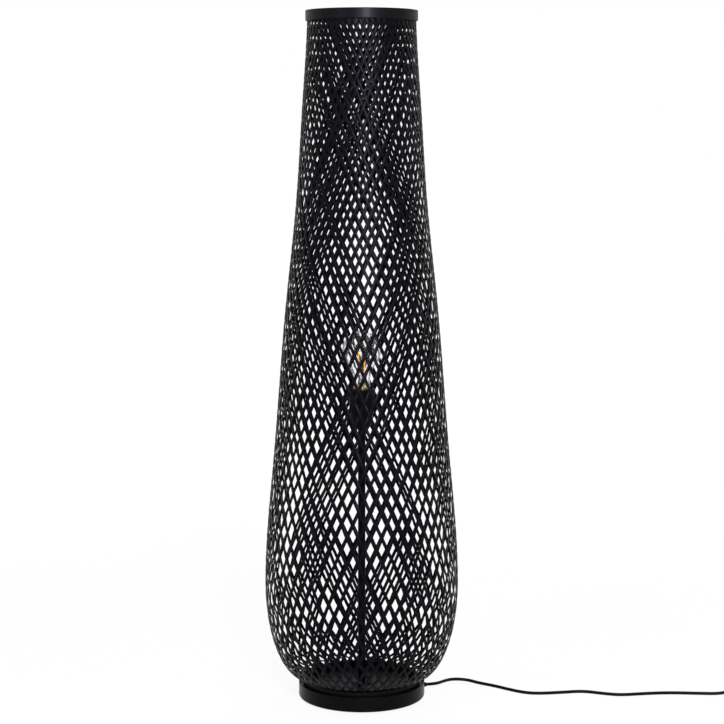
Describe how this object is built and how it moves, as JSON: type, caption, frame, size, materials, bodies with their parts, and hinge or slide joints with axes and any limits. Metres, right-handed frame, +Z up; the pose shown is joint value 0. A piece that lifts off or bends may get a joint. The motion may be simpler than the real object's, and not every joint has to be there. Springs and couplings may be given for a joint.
{
  "type": "floor lamp",
  "caption": "Tall lantern floor lamp with an open woven black bamboo shade standing in a round steel base, a central pole and a clear bulb.",
  "frame": {"origin": "on the floor, on the axis of the base, pole and shade", "axes": "+Z up along the axis; the cord leaves the base towards +X; the pictured front faces -Y"},
  "size_m": [0.972, 0.3114, 1.1],
  "materials": {
    "rubber": "soft matt black rubber",
    "black_steel": "satin black powder coat",
    "cast_iron": "rough grey casting",
    "zinc_steel": "bright zinc plate",
    "black_moulding": "black moulded plastic, fine satin texture",
    "black_gloss": "black moulded plastic, polished",
    "cord_sheath": "black round mains cord, soft satin sheath",
    "core_brown": "brown insulation",
    "core_blue": "blue insulation",
    "white_ceramic": "glazed cream porcelain",
    "brass": "plain stamped brass",
    "nickel": "nickel plate",
    "clear_glass": "clear blown glass",
    "dark_glass": "black vitrite",
    "amber_phosphor": "yellow-orange phosphor coat, unlit",
    "circuit_board": "green circuit board",
    "black_bamboo_hoop": "smooth black lacquered bamboo, semi-gloss",
    "black_bamboo": "split bamboo strips dyed black, semi-gloss with a cool sheen",
    "tie_fabric": "black woven tie"
  },
  "bodies": {
    "base": {"feet": "rubber", "base_dish": "black_steel", "ballast": "cast_iron", "dish_screws": "zinc_steel", "base_cover": "black_steel", "shade_locating_ring": "black_steel", "strain_relief": "black_moulding", "relief_nut": "black_moulding", "cord_end": "cord_sheath", "live_core": "core_brown", "neutral_core": "core_blue", "base_nipple": "zinc_steel", "base_nut": "zinc_steel", "base_washer": "zinc_steel", "pole_rose": "black_steel", "pole": "black_steel", "holder_nipple": "zinc_steel", "holder_nut": "zinc_steel", "holder_cap": "black_moulding", "holder_skirt": "black_moulding", "holder_core": "white_ceramic", "screw_shell": "brass", "centre_contact": "brass", "terminal_screws": "brass", "cord_run": "cord_sheath", "cord_link": "cord_sheath", "cord_tail": "cord_sheath", "cord_coil": "cord_sheath", "coil_tie": "tie_fabric", "switch_base": "black_moulding", "switch_cover": "black_moulding", "switch_axle": "zinc_steel", "switch_contacts": "brass", "switch_screws": "zinc_steel", "plug_body": "black_moulding", "plug_boot": "cord_sheath", "plug_cord_end": "cord_sheath", "plug_pins": "nickel", "plug_pin_sleeves": "black_gloss"},
    "shade": {"top_hoop_outer": "black_bamboo_hoop", "top_hoop_inner": "black_bamboo_hoop", "top_hoop_tacks": "black_steel", "bottom_hoop_outer": "black_bamboo_hoop", "bottom_hoop_inner": "black_bamboo_hoop", "bottom_hoop_tacks": "black_steel", "weave_strips_left": "black_bamboo", "weave_strips_right": "black_bamboo"},
    "bulb_tip": {"bulb_contact": "brass", "bulb_insulator": "dark_glass"},
    "bulb": {"bulb_cap": "brass", "bulb_glass": "clear_glass", "bulb_stem": "clear_glass", "filaments": "amber_phosphor", "filament_posts": "zinc_steel", "bulb_driver": "circuit_board"},
    "switch_rocker": {"switch_rocker": "black_gloss"}
  },
  "joints": [
    {"name": "shade_lift", "type": "slide", "parent": "base", "child": "shade", "axis": [0, 0, 1], "range_m": [0, 0.6]},
    {"name": "bulb_rise", "type": "slide", "parent": "base", "child": "bulb_tip", "axis": [0, 0, 1], "range_m": [0, 0.0182]},
    {"name": "bulb_turn", "type": "hinge", "parent": "bulb_tip", "child": "bulb", "pos_m": [0, 0, 0.5], "axis": [0, 0, 1], "range_deg": [0, 1800]},
    {"name": "rocker_tilt", "type": "hinge", "parent": "base", "child": "switch_rocker", "pos_m": [0.646, 0, 0.0138], "axis": [0, 1, 0], "range_deg": [0, 16]}
  ],
  "couplings": [
    {"joint": "bulb_rise", "follows": "bulb_turn", "m_per_rad": 0.00057757}
  ]
}
